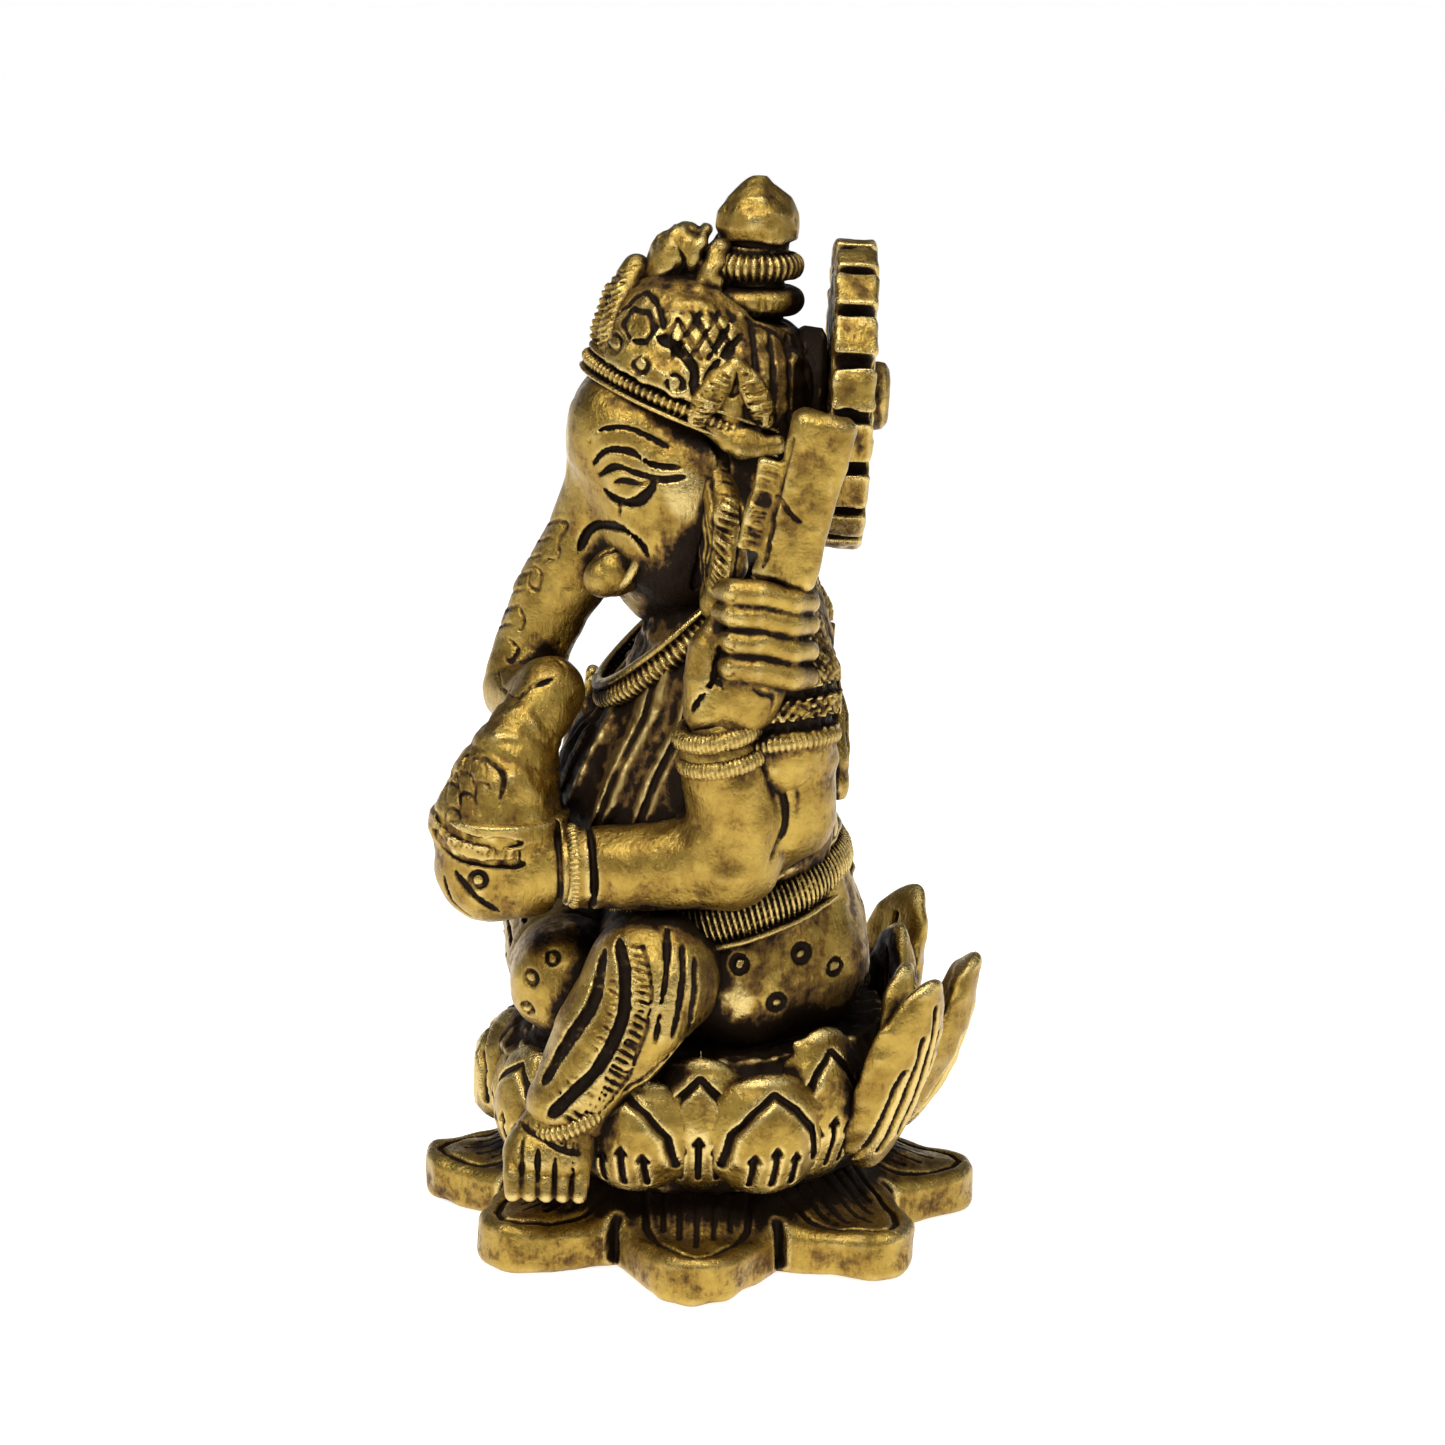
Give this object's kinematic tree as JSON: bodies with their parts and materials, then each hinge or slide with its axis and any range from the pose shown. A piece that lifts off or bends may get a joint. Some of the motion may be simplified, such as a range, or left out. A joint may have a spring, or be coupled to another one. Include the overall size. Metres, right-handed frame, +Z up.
{
  "type": "seated deity statuette",
  "caption": "Antiqued brass statuette of a seated elephant-headed Hindu deity on a double lotus base, with a small lobed halo wheel behind the head.",
  "frame": {"origin": "centre of the base plate's underside, where the statuette stands", "axes": "+Z up; the figure faces -Y; its left side, which holds the axe and the bowl of sweets, is +X"},
  "size_m": [0.0486, 0.0486, 0.09],
  "materials": {
    "base_plate": "antiqued cast brass, blackened in the recesses and rubbed bright on the high spots",
    "lotus_bowl": "antiqued cast brass, blackened in the recesses and rubbed bright on the high spots",
    "outer_petals": "antiqued cast brass, blackened in the recesses and rubbed bright on the high spots",
    "inner_petals": "antiqued cast brass, blackened in the recesses and rubbed bright on the high spots",
    "lotus_seat": "antiqued cast brass, blackened in the recesses and rubbed bright on the high spots",
    "hips": "antiqued cast brass, blackened in the recesses and rubbed bright on the high spots",
    "waist_belt": "antiqued cast brass, blackened in the recesses and rubbed bright on the high spots",
    "left_leg": "antiqued cast brass, blackened in the recesses and rubbed bright on the high spots",
    "left_foot": "antiqued cast brass, blackened in the recesses and rubbed bright on the high spots",
    "left_anklet": "antiqued cast brass, blackened in the recesses and rubbed bright on the high spots",
    "dhoti_panel": "antiqued cast brass, blackened in the recesses and rubbed bright on the high spots",
    "right_leg": "antiqued cast brass, blackened in the recesses and rubbed bright on the high spots",
    "right_foot": "antiqued cast brass, blackened in the recesses and rubbed bright on the high spots",
    "torso": "antiqued cast brass, blackened in the recesses and rubbed bright on the high spots",
    "necklace": "antiqued cast brass, blackened in the recesses and rubbed bright on the high spots",
    "back_sash": "antiqued cast brass, blackened in the recesses and rubbed bright on the high spots",
    "left_sleeve": "antiqued cast brass, blackened in the recesses and rubbed bright on the high spots",
    "left_elbow": "antiqued cast brass, blackened in the recesses and rubbed bright on the high spots",
    "left_rear_forearm": "antiqued cast brass, blackened in the recesses and rubbed bright on the high spots",
    "left_rear_bangles": "antiqued cast brass, blackened in the recesses and rubbed bright on the high spots",
    "left_rear_fist": "antiqued cast brass, blackened in the recesses and rubbed bright on the high spots",
    "axe": "antiqued cast brass, blackened in the recesses and rubbed bright on the high spots",
    "left_front_forearm": "antiqued cast brass, blackened in the recesses and rubbed bright on the high spots",
    "left_front_bracelet": "antiqued cast brass, blackened in the recesses and rubbed bright on the high spots",
    "left_front_hand": "antiqued cast brass, blackened in the recesses and rubbed bright on the high spots",
    "sweet_bowl": "antiqued cast brass, blackened in the recesses and rubbed bright on the high spots",
    "sweets": "antiqued cast brass, blackened in the recesses and rubbed bright on the high spots",
    "right_sleeve": "antiqued cast brass, blackened in the recesses and rubbed bright on the high spots",
    "right_elbow": "antiqued cast brass, blackened in the recesses and rubbed bright on the high spots",
    "right_rear_forearm": "antiqued cast brass, blackened in the recesses and rubbed bright on the high spots",
    "right_rear_bangles": "antiqued cast brass, blackened in the recesses and rubbed bright on the high spots",
    "right_rear_fist": "antiqued cast brass, blackened in the recesses and rubbed bright on the high spots",
    "goad": "antiqued cast brass, blackened in the recesses and rubbed bright on the high spots",
    "right_front_forearm": "antiqued cast brass, blackened in the recesses and rubbed bright on the high spots",
    "right_front_bracelet": "antiqued cast brass, blackened in the recesses and rubbed bright on the high spots",
    "right_front_hand": "antiqued cast brass, blackened in the recesses and rubbed bright on the high spots",
    "head": "antiqued cast brass, blackened in the recesses and rubbed bright on the high spots",
    "trunk": "antiqued cast brass, blackened in the recesses and rubbed bright on the high spots",
    "left_tusk": "antiqued cast brass, blackened in the recesses and rubbed bright on the high spots",
    "right_tusk": "antiqued cast brass, blackened in the recesses and rubbed bright on the high spots",
    "left_ear": "antiqued cast brass, blackened in the recesses and rubbed bright on the high spots",
    "right_ear": "antiqued cast brass, blackened in the recesses and rubbed bright on the high spots",
    "crown_cap": "antiqued cast brass, blackened in the recesses and rubbed bright on the high spots",
    "crown_band": "antiqued cast brass, blackened in the recesses and rubbed bright on the high spots",
    "crown_front_plate": "antiqued cast brass, blackened in the recesses and rubbed bright on the high spots",
    "crown_buds": "antiqued cast brass, blackened in the recesses and rubbed bright on the high spots",
    "crown_lower_ring": "antiqued cast brass, blackened in the recesses and rubbed bright on the high spots",
    "crown_upper_ring": "antiqued cast brass, blackened in the recesses and rubbed bright on the high spots",
    "crown_finial": "antiqued cast brass, blackened in the recesses and rubbed bright on the high spots",
    "ear_ornaments": "antiqued cast brass, blackened in the recesses and rubbed bright on the high spots",
    "halo_boss": "antiqued cast brass, blackened in the recesses and rubbed bright on the high spots",
    "halo_peg": "antiqued cast brass, blackened in the recesses and rubbed bright on the high spots",
    "halo_wheel": "antiqued cast brass, blackened in the recesses and rubbed bright on the high spots"
  },
  "bodies": {
    "figure": {"base_plate": "base_plate", "lotus_bowl": "lotus_bowl", "outer_petals": "outer_petals", "inner_petals": "inner_petals", "lotus_seat": "lotus_seat", "hips": "hips", "waist_belt": "waist_belt", "left_leg": "left_leg", "left_foot": "left_foot", "left_anklet": "left_anklet", "dhoti_panel": "dhoti_panel", "right_leg": "right_leg", "right_foot": "right_foot", "torso": "torso", "necklace": "necklace", "back_sash": "back_sash", "left_sleeve": "left_sleeve", "left_elbow": "left_elbow", "left_rear_forearm": "left_rear_forearm", "left_rear_bangles": "left_rear_bangles", "left_rear_fist": "left_rear_fist", "axe": "axe", "left_front_forearm": "left_front_forearm", "left_front_bracelet": "left_front_bracelet", "left_front_hand": "left_front_hand", "sweet_bowl": "sweet_bowl", "sweets": "sweets", "right_sleeve": "right_sleeve", "right_elbow": "right_elbow", "right_rear_forearm": "right_rear_forearm", "right_rear_bangles": "right_rear_bangles", "right_rear_fist": "right_rear_fist", "goad": "goad", "right_front_forearm": "right_front_forearm", "right_front_bracelet": "right_front_bracelet", "right_front_hand": "right_front_hand", "head": "head", "trunk": "trunk", "left_tusk": "left_tusk", "right_tusk": "right_tusk", "left_ear": "left_ear", "right_ear": "right_ear", "crown_cap": "crown_cap", "crown_band": "crown_band", "crown_front_plate": "crown_front_plate", "crown_buds": "crown_buds", "crown_lower_ring": "crown_lower_ring", "crown_upper_ring": "crown_upper_ring", "crown_finial": "crown_finial", "ear_ornaments": "ear_ornaments", "halo_boss": "halo_boss", "halo_peg": "halo_peg"},
    "wheel": {"halo_wheel": "halo_wheel"}
  },
  "joints": [
    {"name": "halo_spin", "type": "hinge", "parent": "figure", "child": "wheel", "pos_m": [0, 0.0109, 0.072], "axis": [0, 0.9997, -0.0244], "continuous": true}
  ]
}
